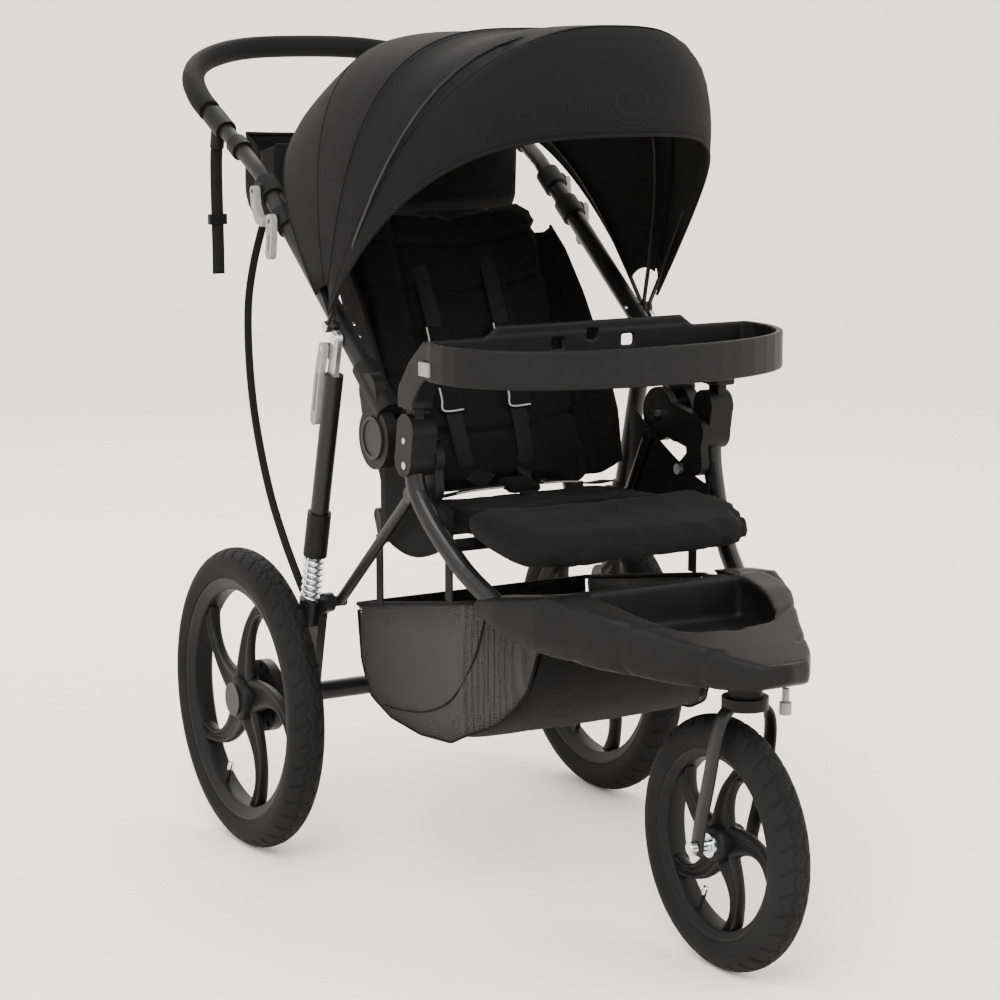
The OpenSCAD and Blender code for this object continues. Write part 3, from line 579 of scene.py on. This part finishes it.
def make_canopy():
    columns = across(72)
    rear = [[canopy_at(a, t, rear_r(a, t), REAR_X) for t in columns] for a in np.linspace(46, 112, 41)]
    cloth_sheet("canopy_rear_cloth", rear, "handle_frame", ["canopy_rear"])
    hood = [[hood_at(i / 36, t) for t in columns] for i in range(37)]
    cloth_sheet("canopy_hood_cloth", hood, "canopy_front", ["canopy_hood"])
    for name, f, radius in (("brim_hem", 1, 2.2), ("hood_rear_hem", 0, 1.8), ("hood_seam", 0.62, 1.0)):
        hem(name, [hood_at(f, t, 0.4) for t in columns], "canopy_front", radius)
    for k, f in enumerate((0.955, 0.04)):
        stitches(f"hood_stitches_{k}", [hood_at(f, t, 1.2) for t in across(240)], "canopy_front")
    hem("canopy_rear_hem", [canopy_at(46, t, rear_r(46, t), REAR_X) for t in columns], "handle_frame")
    middle = [canopy_at(76, t, rear_r(76, t) + 0.6, REAR_X + 0.6) for t in columns]
    hem("canopy_middle_seam", middle, "handle_frame", 1.0)
    for side in (-1, 1):
        slope = math.radians(76)
        line = [at(side * (REAR_X + 0.8), PIVOT_Y + r * math.cos(slope), PIVOT_Z + r * math.sin(slope))
                for r in range(70, 130, 3)]
        stitches(f"canopy_side_stitches_{'r' if side < 0 else 'l'}", line, "handle_frame")


# ---- Seat, calf rest and harness ----

BACK_Y, BACK_Z, BACK_SLOPE = -185, 466, 65.4


def back_at(x, s, n):
    """A point s up the seat back and n in front of its middle plane."""
    c, d = math.cos(math.radians(BACK_SLOPE)), math.sin(math.radians(BACK_SLOPE))
    return at(x, BACK_Y + s * c - n * d, BACK_Z + s * d + n * c)


def to_back(places):
    """Row-frame points as (x, s, n) on the seat back, in millimetres."""
    x, y, z = (places - np.array([0, AXLE_Y, 0])).T / MM
    c, d = math.cos(math.radians(BACK_SLOPE)), math.sin(math.radians(BACK_SLOPE))
    y, z = y - BACK_Y, z - BACK_Z
    return x, y * c + z * d, -y * d + z * c


def make_seat():
    back_box = slab(rounded(156, 10, 418, 34), -10, 9, back_at)
    back = add_piece("seat_back_pad", *back_box, None, "black_fabric", SEAT_FABRIC)
    puff(back, 0.012)
    for s in (92, 158, 224, 290, 352):
        sew(back, lambda p, s=s: np.abs(to_back(p)[1] - s - 0.00105 * to_back(p)[0] ** 2), 0.0055, 5.0)
    for x in (-78, 78):
        sew(back, lambda p, x=x: np.abs(to_back(p)[0] - x), 0.004, 4.5)
    wrinkle(back, 0.0016, 34)
    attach(back, "seat_back")
    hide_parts("seat_back")
    for side, name in SIDES:
        rows = []
        for k in range(27):
            height = 26 + 346 * k / 26
            deep = np.interp(height, [26, 90, 160, 260, 330, 372], [56, 74, 72, 56, 36, 14])
            rows.append([back_at(side * (120 + 44 * math.sin(1.57 * min(1, 2.5 * g))), height,
                                 -7 + (deep + 9) * g ** 1.6) for g in np.linspace(0, 1, 16)])
        wing = cloth_sheet(f"seat_wing_{name}", rows, "seat_back", [])
        wrinkle(wing, 0.004, 16)
        wing.data.materials[0] = SEAT_FABRIC
        hem(f"seat_wing_hem_{name}", [row[-1] for row in rows], "seat_back", 2.4, SEAT_FABRIC)

    def seat_at(u, v, w):
        rise = 478 + 0.00062 * max(0, -v - 240) ** 2
        return at(u, v, rise - 8 + w)
    seat_box = slab(rounded(158, -394, -204, 24), -9, 7, seat_at)
    seat = add_piece("seat_pad", *seat_box, None, "black_fabric", SEAT_FABRIC)
    puff(seat, 0.008)
    wrinkle(seat, 0.0012, 40)
    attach(seat, "front_chassis")
    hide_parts("seat_cushion")

    plan = calf_plan(182)
    calf = add_piece("calf_pad", *slab(plan, -11, 10, calf_at), None, "black_fabric")
    puff(calf, 0.009)
    sew(calf, lambda p: edge_distance(p, calf_plan(168)), 0.0025, 2.2)
    wrinkle(calf, 0.0008, 26)
    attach(calf, "front_chassis")
    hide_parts("calf_rest")
    for side, name in SIDES:
        rows = []
        for k in range(13):
            f = k / 12
            top, low = 506 + 84 * f ** 1.4, 468 - 34 * math.sin(2.6 * f)
            rows.append([at(side * 184.9, -402 + 186 * f, low + (top - low) * g)
                         for g in np.linspace(0, 1, 8)])
        panel = cloth_sheet(f"seat_side_panel_{name}", rows, "front_chassis", [])
        hem(f"seat_side_hem_{name}", [row[0] for row in rows], "front_chassis", 1.8)
        panel.data.materials[0] = SEAT_FABRIC


def calf_plan(half):
    """Outline of the calf rest: wider and rounded at its front."""
    side = [(half - 10, -404), (half + 2, -440), (half, -490), (half - 12, -518), (half - 40, -532),
            (0, -540)]
    full = side + [(-x, y) for x, y in reversed(side[:-1])]
    return [(p.x, p.y) for p in spline([Vector((x, y, 0)) for x, y in full], 4)]


def calf_at(u, v, w):
    """The calf rest slopes down and rolls over at its front."""
    f = (-v - 404) / 136
    return at(u, v, 492 - 6 * f - 26 * f ** 3 + w * (1 + 0.1 * f))


def edge_distance(places, line):
    """Distance in millimetres, seen from above, from each point to a line that both sides share."""
    p = (places - np.array([0, AXLE_Y, 0]))[:, :2] / MM
    p[:, 0] = np.abs(p[:, 0])
    best = np.full(len(p), 1e9)
    q = np.array(line, float)
    for a, b in zip(q, q[1:]):
        d = b - a
        t = np.clip(((p - a) @ d) / max(d @ d, 1e-9), 0, 1)[:, None]
        best = np.minimum(best, np.linalg.norm(p - a - t * d, axis=1))
    return best


def wrinkle(obj, depth, scale):
    """Soft creases, pushed in along the surface's normals."""
    places = coords(obj)
    normals = np.empty(len(places) * 3)
    obj.data.vertices.foreach_get("normal", normals)
    fold = np.array([noise.noise(Vector((p[0] * scale, p[1] * scale, p[2] * scale * 0.6))) for p in places])
    fold = fold - 0.6 * np.abs(fold)
    set_coords(obj, places + normals.reshape(-1, 3) * (depth * fold)[:, None])


def soft_block(name, half_w, low, high, deep, place, body, material, cap=0.004):
    """A small stuffed pad with its own cloth pass."""
    pad = add_piece(name, *slab(rounded(half_w, low, high, min(half_w, 9)), -deep, deep, place), None,
                    "webbing", material)
    puff(pad, cap, 0.003)
    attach(pad, body)
    return pad


def make_harness():
    section = flat_section(0.024, 0.0022)
    cord = ring(0.0013, 6)
    first = None
    for side, name in SIDES:
        line = spline([back_at(side * 53, 338, 12), back_at(side * 52, 330, 19),
                       back_at(side * 50, 250, 25), back_at(side * 49, 150, 25), back_at(side * 46, 66, 24), at(side * 40, -186, 508),
                       at(side * 26, -214, 502)], 8)
        strap = add_piece(f"shoulder_strap_{name}", *sweep(line, section, up=(0, -0.9, 0.4)), "seat_back",
                          "webbing")
        first = first or strap
        soft_block(f"shoulder_pad_{name}", 20, 118, 238, 4,
                   lambda u, v, w, side=side: back_at(side * 50 + u, v, 25 + w), "seat_back", SEAT_FABRIC)
        for k, (low, high) in enumerate(((121, 152), (204, 235))):
            corner = spline([back_at(side * 50 - 15, high, 31),
                             back_at(side * 50 - 15, (low + high) / 2, 31.5),
                             back_at(side * 50 - 15, low, 31), back_at(side * 50 + 14, low, 31)], 6)
            add_piece(f"shoulder_piping_{name}_{k}", *sweep(corner, cord, up=(0, -0.9, 0.42)), "seat_back",
                      "webbing", PIPING)
    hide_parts("harness")
    crotch = spline([at(0, y, z) for y, z in ((-292, 487), (-276, 489), (-262, 493), (-240, 499),
                                              (-226, 502))], 6)
    strap = add_piece("crotch_webbing", *sweep(crotch, section, up=(0, 0, 1)), "front_chassis", "webbing")
    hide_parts("crotch_strap")
    soft_block("buckle_cover", 25, -20, 20, 4.5,
               lambda u, v, w: at(u, -243 + v, 499 + 0.2 * v + w), "front_chassis", SEAT_FABRIC)
    for side, name in SIDES:
        line = spline([at(side * 24, -244, 499), at(side * 70, -236, 496), at(side * 118, -224, 488),
                       at(side * 152, -212, 487)], 7)
        add_piece(f"hip_strap_{name}", *sweep(line, section, up=(0, 0.1, 1)), "front_chassis", "webbing")
        edge = spline([at(side * 30, -256, 500), at(side * 62, -250, 498.5), at(side * 92, -243, 495)], 6)
        add_piece(f"hip_piping_{name}", *sweep(edge, cord, up=(0, 0, 1)), "front_chassis", "webbing",
                  PIPING)


# ---- Basket and bag ----

BASKET_SIDE = [
    (-130, 340), (-141, 264), (-168, 226), (-222, 210), (-300, 206), (-380, 214), (-449, 247), (-499, 297),
    (-520, 350), (-522, 411)
]


def basket_half_w(y):
    """Half the basket's width: it narrows between the front tubes."""
    f = min(1, max(0, (-400 - y) / 80))
    return 174 - 34 * f * f * (3 - 2 * f) - max(0, -480 - y) * 0.16


def basket_rim(y):
    """Height of the basket's top edge, which rises towards its front."""
    return 340 + (-128 - y) * 0.19


def make_basket():
    """Sagging shell: a solid panel behind, under and in front, and mesh panels at the sides."""
    profile = spline([at(0, y, z) for y, z in BASKET_SIDE], 5)
    columns = np.linspace(-1, 1, 41)
    rows = []
    for p in profile:
        y, z = (p.y - AXLE_Y) / MM, p.z / MM
        row = []
        for u in columns:
            bulge = 1 - abs(u) ** 7
            low = z + (basket_rim(y) - z) * abs(u) ** 9 * 0.04
            sag = 5 * math.sin(math.pi * (u + 1) / 2) if z < 230 else 0
            row.append(at((basket_half_w(y) - 1.5) * u * (0.985 + 0.015 * bulge), y, low + 3 - sag * 0.6))
        rows.append(row)
    belly = cloth_sheet("basket_belly", rows, "front_chassis", ["storage_basket"])
    wrinkle(belly, 0.0016, 24)
    depth, lower = zip(*[(-y, z) for y, z in BASKET_SIDE[:-1]])
    for side, name in SIDES:
        rows = []
        for y in np.linspace(-131, -519, 44):
            rim = basket_rim(y)
            z = min(np.interp(-y, depth, lower), rim - 6)
            rows.append([at(side * (basket_half_w(y) + 1.6 - 2 * math.sin(math.pi * g)), y,
                            z + (rim - z) * g - 2.5 * math.sin(math.pi * g)) for g in np.linspace(0, 1, 9)])
        panel = cloth_sheet(f"basket_side_{name}", rows, "front_chassis", [])
        panel.data.materials[0] = FINISH["mesh_fabric"]
        piece = hem(f"basket_seam_{name}", [row[0] for row in rows], "front_chassis", 1.8)
        edge = spline([at(side * (basket_half_w(y) + 1.6), y, z) for y, z in
                       ((-440, 396), (-425, 330), (-385, 272), (-320, 240), (-250, 226), (-200, 222))], 6)
        squash_basket(hem(f"basket_panel_seam_{name}", edge, "front_chassis", 1.3))
        squash_basket(piece)
        squash_basket(panel)
    squash_basket(belly)
    rim_line = []
    for side in (-1, 1):
        edge = [at(side * (basket_half_w(y) + 0.5), y, basket_rim(y)) for y in np.linspace(-128, -519, 30)]
        rim_line += edge if side < 0 else edge[::-1]
    rim_line.append(rim_line[0])
    squash_basket(hem("basket_rim", rim_line, "front_chassis", 3.0))


def squash_basket(piece):
    """Gives a basket piece its own copy of its mesh; the real basket collapses upwards as the rear wheels fold in
    under the frame, but no fold is made here.
    """
    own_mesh(piece)


def make_bag():
    """Soft bag slung between the frame tubes, open at the top, with a sagging floor."""
    section = [(77, 916), (80, 850), (84, 834), (98, 820), (128, 817), (158, 823), (175, 838), (182, 862),
               (177, 928)]
    profile = spline([at(0, y, z) for y, z in section], 5)
    rows = []
    for u in np.linspace(-1, 1, 45):
        edge = 1 - abs(u) ** 12
        drop = 6 * (1 - u * u)
        row = []
        for p in profile:
            y, z = (p.y - AXLE_Y) / MM, p.z / MM
            level = (z - 817) / 111
            row.append(at(184 * u, 130 + (y - 130) * (0.93 + 0.07 * edge),
                          z + 6 - drop * (1 - level * 0.3)))
        rows.append(row)
    bag = cloth_sheet("organiser_cloth", rows, "handle_frame", ["organiser_bag"])
    wrinkle(bag, 0.0015, 28)
    for side, name in SIDES:
        ends = []
        for p in profile:
            y, z = (p.y - AXLE_Y) / MM, p.z / MM
            ends.append([at(side * 184, 130 + (y - 130) * 0.93 * g, z + 6 + (905 - z) * (1 - g) * 0.9)
                         for g in np.linspace(0.04, 1, 7)])
        cloth_sheet(f"organiser_end_{name}", ends, "handle_frame", [])
    for k, j in enumerate((0, -1)):
        hem(f"organiser_rim_{k}", [row[j] for row in rows], "handle_frame", 2.6)


# ---- Wheels ----

def lathe(profile, steps, place):
    """Surface of revolution about x from [(x, r)], wrapped on itself."""
    verts = [place(x, r * math.cos(2 * math.pi * k / steps), r * math.sin(2 * math.pi * k / steps))
             for k in range(steps) for x, r in profile]
    m = len(profile)
    faces = []
    for k in range(steps):
        here, after = k * m, (k + 1) % steps * m
        faces += [(here + j, here + (j + 1) % m, after + (j + 1) % m, after + j) for j in range(m)]
    return verts, faces


def turned(profile, steps, centre, side=1):
    """A lathed piece placed on a wheel: its x runs outwards on the side given."""
    return lathe(profile, steps, lambda x, y, z: centre + Vector((side * x, y, z)) * MM)


def notch(phase, half_width):
    """Depth, from 0 to 1, of a groove that repeats once in each whole step of phase."""
    return max(0, 1 - abs(phase % 1 - 0.5) / half_width)


def tyre_mesh(radius, centre, blocks):
    """Tyre with a curved centre groove on each side of a wavy rib, and slanting shoulder grooves."""
    half, steps = 23.8, blocks * 16
    crown = [math.radians(a) for a in np.linspace(-128, 128, 47)]
    verts, faces = [], []
    for k in range(steps):
        turn = 2 * math.pi * k / steps
        for a in crown:
            offset = math.sin(a)
            phase = k / 16 + offset * 0.55
            wave = math.sin(2 * math.pi * k / 16) * 0.09
            slot = notch(phase, 0.1) if 0.3 < abs(offset) < 0.86 and abs(a) < 1.4 else 0
            rib = max(0, 1 - abs(abs(offset) - 0.27 - wave) / 0.055) if abs(a) < 1 else 0
            fine = notch(phase * 2, 0.12) if abs(offset) < 0.16 and abs(a) < 1 else 0
            wall = 0.7 if abs(abs(a) - 1.72) < 0.06 or abs(abs(a) - 1.95) < 0.05 else 0
            r = half - 2.4 * min(1, 1.6 * slot) - 2.2 * min(1, 1.6 * rib) - 1.2 * fine - wall + 0.1
            x = r * math.sin(a)
            out = radius - 23.9 + r * math.cos(a)
            verts.append(centre + Vector((x, out * math.cos(turn), out * math.sin(turn))) * MM)
    m = len(crown)
    for k in range(steps):
        n = (k + 1) % steps
        faces += [(k * m + j, k * m + j + 1, n * m + j + 1, n * m + j) for j in range(m - 1)]
        faces.append((k * m + m - 1, k * m, n * m, n * m + m - 1))
    return verts, faces


def spoke_mesh(hub_r, open_r, side, turn, centre):
    """A curved spoke: two ridges with a deep web between them on the face, flat behind."""
    rows, steps = [], 22
    ridge = [(-1, 3), (-0.9, 9.5), (-0.62, 11.5), (-0.4, 8.5), (0, 1.5), (0.4, 8.5), (0.62, 11.5),
             (0.9, 9.5), (1, 3)]
    for i in range(steps + 1):
        f = i / steps
        r = hub_r - 5 + f * (open_r + 5 - hub_r)
        w = hub_r * 0.62 * (1 - f) ** 1.6 + 8.5 + 6.5 * max(0, f - 0.8) / 0.2
        bend = math.radians(turn + 27 * f * f - 4 * f)
        tangent = Vector((0, -math.sin(bend), math.cos(bend)))
        radial = Vector((0, math.cos(bend), math.sin(bend)))
        deep = 1 - 0.28 * math.sin(math.pi * f)
        rows.append([centre + (radial * r + tangent * (w * u) + Vector((side * h * deep, 0, 0))) * MM
                     for u, h in ridge + [(0.9, -9), (-0.9, -9)]])
    m = len(rows[0])
    verts = [p for row in rows for p in row]
    faces = grid_faces(len(rows), m, True)
    faces += [tuple(range(m)), tuple((len(rows) - 1) * m + j for j in reversed(range(m)))]
    return verts, faces


def rim_pieces(prefix, centre, seat, open_r, hub_r, side, body, node):
    barrel = [(-18, seat + 2.5), (-19.5, seat - 2), (-17, seat - 6), (-13.5, open_r + 3), (-12, open_r),
              (12, open_r), (13.5, open_r + 3), (17, seat - 6), (19.5, seat - 2), (18, seat + 2.5),
              (14, seat - 0.5), (-14, seat - 0.5)]
    rim = add_piece(f"{prefix}_rim_ring", *turned(barrel, 120, centre), body, "rim_plastic")
    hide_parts(node)
    rim.modifiers.new("bevel", "BEVEL").width = 0.001
    boss = [(-20, 12), (-20, hub_r - 1.5), (-17, hub_r), (14, hub_r + 1), (18.5, hub_r - 2),
            (20, hub_r - 6), (20, 12)]
    add_piece(f"{prefix}_rim_boss", *turned(boss, 72, centre, side), body, "rim_plastic")
    for k in range(5):
        shape = spoke_mesh(hub_r, open_r, side, 72 * k + 20, centre)
        spoke = add_piece(f"{prefix}_spoke_{k}", *shape, body, "rim_plastic")
        soften = spoke.modifiers.new("soften", "SUBSURF")
        soften.levels = soften.render_levels = 1
    turn = math.radians(-64)
    radial = Vector((0, math.cos(turn), math.sin(turn)))

    def along(radii):
        return [centre + radial * (r * MM) + Vector((side * 0.004, 0, 0)) for r in radii]
    stem = sweep(along(np.linspace(open_r + 2, open_r - 22, 9)), ring(0.0031, 12), up=(1, 0, 0))
    add_piece(f"{prefix}_valve", *stem, body, "tyre_rubber")
    cap = sweep(along([open_r - 20, open_r - 24, open_r - 31, open_r - 32]), ring(0.0039, 12), up=(1, 0, 0))
    add_piece(f"{prefix}_valve_cap", *cap, body, "bright_steel")


def make_wheels():
    rear = [("rear_left", 1), ("rear_right", -1)]
    for name, side in rear:
        body = f"rear_wheel_{name[5:]}"
        centre = at(side * 274.4, 0, 200)
        tyre = add_piece(f"{name}_tyre", *tyre_mesh(200, centre, 44), body, "tyre_rubber")
        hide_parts(f"rear_tyre_{name[5:]}")
        rim_pieces(name, centre, 161, 145, 27, side, body, f"rear_rim_{name[5:]}")
    centre = at(0, -714, 150)
    tyre = add_piece("front_tyre_tread", *tyre_mesh(150, centre, 34), "front_wheel", "tyre_rubber")
    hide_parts("front_tyre")
    rim_pieces("front", centre, 114, 101, 21, -1, "front_wheel", "front_rim")


def make_springs():
    """Bright compression springs between the leg sleeves and the axle."""
    slope = math.radians(14.3)
    down = Vector((0, math.sin(slope), -math.cos(slope)))
    fore = Vector((0, math.cos(slope), math.sin(slope)))
    top, turns, steps = 297.5, 7, 168
    for side, name in SIDES:
        start = at(side * 230, -190, 695) + down * (top * MM)
        line = []
        for i in range(steps + 1):
            f = i / steps
            turn = 2 * math.pi * turns * f
            out = Vector((1, 0, 0)) * math.cos(turn) + fore * math.sin(turn)
            line.append(start + down * (59 * f * MM) + out * 0.0116)
        coil = add_piece(f"spring_{name}", *sweep(line, ring(0.002, 10), up=tuple(down)), "rear_frame",
                         "bright_steel")
        if side < 0:
            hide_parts("coil_springs")
        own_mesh(coil)


# ---- Moulded shells and the fork ----

def cad_shell(name, source, voxel, rounds, body):
    """A moulded piece made again from its CAD solid, with soft and flowing edges."""
    place = nodes[source].matrix_world
    verts = [place @ v.co for v in nodes[source].data.vertices]
    faces = [tuple(p.vertices) for p in nodes[source].data.polygons]
    shell = add_piece(name, verts, faces, None, "black_plastic")
    remesh = shell.modifiers.new("remesh", "REMESH")
    remesh.mode = "VOXEL"
    remesh.voxel_size = voxel
    relax = shell.modifiers.new("relax", "SMOOTH")
    relax.factor = 0.5
    relax.iterations = rounds
    bake(shell)
    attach(shell, body)
    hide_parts(source)
    return shell


def make_fairing():
    """The nose shell: low arms that swell into a tapered nose, with parting lines over the top."""
    shell = cad_shell("fairing_shell", "footrest_fairing", 0.0034, 14, "front_chassis")
    x, y, z = (coords(shell) - np.array([0, AXLE_Y, 0])).T / MM
    cad_top = np.interp(-y, [455, 480, 560, 640, 720, 790, 836, 850],
                        [428, 430, 431, 424, 410, 398, 386, 366])
    cad_low = np.interp(-y, [455, 560, 650, 740, 820, 846], [386, 358, 342, 334, 338, 348])
    top = np.interp(-y, [455, 485, 540, 580, 640, 720, 790, 836], [410, 416, 425, 431, 425, 408, 395, 386])
    low = np.interp(-y, [455, 485, 525, 560, 650, 740, 820, 846], [390, 386, 371, 364, 356, 351, 354, 364])
    f = (z - cad_low) / (cad_top - cad_low)
    z = low + f * (top - low)
    taper = np.interp(-y, [455, 575, 650, 710, 760, 805, 850], [1, 0.99, 0.94, 0.885, 0.8, 0.69, 0.64])
    x = x * taper * (1 - 0.05 * np.abs(2 * f - 1) ** 3)
    y = np.where(y < -700, -700 + (y + 700) * 0.94, y)
    set_coords(shell, np.column_stack([x, y, z]) * MM + np.array([0, AXLE_Y, 0]))
    for line in ([(142, -543), (146, -620), (126, -674), (64, -714)],
                 [(168, -574), (134, -680), (104, -735), (52, -780)]):
        smooth = [(q.x, q.y) for q in spline([Vector((*point, 0)) for point in line], 6)]
        sew(shell, lambda p, smooth=smooth: edge_distance(p, smooth), 0.0022, 2.6)


def make_fork():
    """Curved flat legs below a round crown."""
    crown = [at(0, -750, z) for z in (316, 317, 331, 332)]
    top = add_piece("fork_crown", *sweep(crown, ring(0.019, 32), up=(0, 1, 0)), "fork", "frame_paint")
    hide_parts("front_fork")
    for side, name in SIDES:
        route = [(7, -751, 323), (20, -752, 322), (33, -751, 308), (38, -747, 280), (39, -737, 235),
                 (39, -724, 190), (38, -715, 158), (38, -713, 141)]
        leg = spline([at(side * x, y, z) for x, y, z in route], 5)
        section = [(a * 0.011, b * 0.0032) for a, b in
                   ((-1, 0), (-0.8, 0.8), (0, 1), (0.8, 0.8), (1, 0), (0.8, -0.8), (0, -1), (-0.8, -0.8))]
        add_piece(f"fork_leg_{name}", *sweep(leg, section, up=(1, 0, 0.3)), "fork", "frame_paint")


# ---- Carried-over CAD pieces ----

# Widths of the soft edges in millimetres, where they are wider than the usual 0.8.
BEVELS = {"hinge_brackets": 2.5, "hinge_hubs": 2.5, "lever_housings": 1.5, "rear_axle_frame": 1.5,
          "brake_pedal": 3, "leg_brackets": 1, "handle_fittings": 1.5}


def finish_cad():
    """Gives every shown CAD piece its material and soft edges."""
    for name, obj in nodes.items():
        if obj.hide_render:
            continue
        obj.data.materials.clear()
        obj.data.materials.append(FINISH[SLOT_OF[name]])
        bevel = obj.modifiers.new("edges", "BEVEL")
        bevel.width = BEVELS.get(name, 0.8) * MM
        bevel.segments = 3
        bevel.limit_method = "ANGLE"
        bevel.angle_limit = math.radians(38)
        bevel.harden_normals = False


make_camera()
make_cords()
make_studio()
make_canopy()
make_seat()
make_harness()
make_basket()
make_bag()
make_wheels()
make_springs()
make_fairing()
cad_shell("tray_shell", "child_tray", 0.0019, 4, "child_tray")
make_fork()
finish_cad()
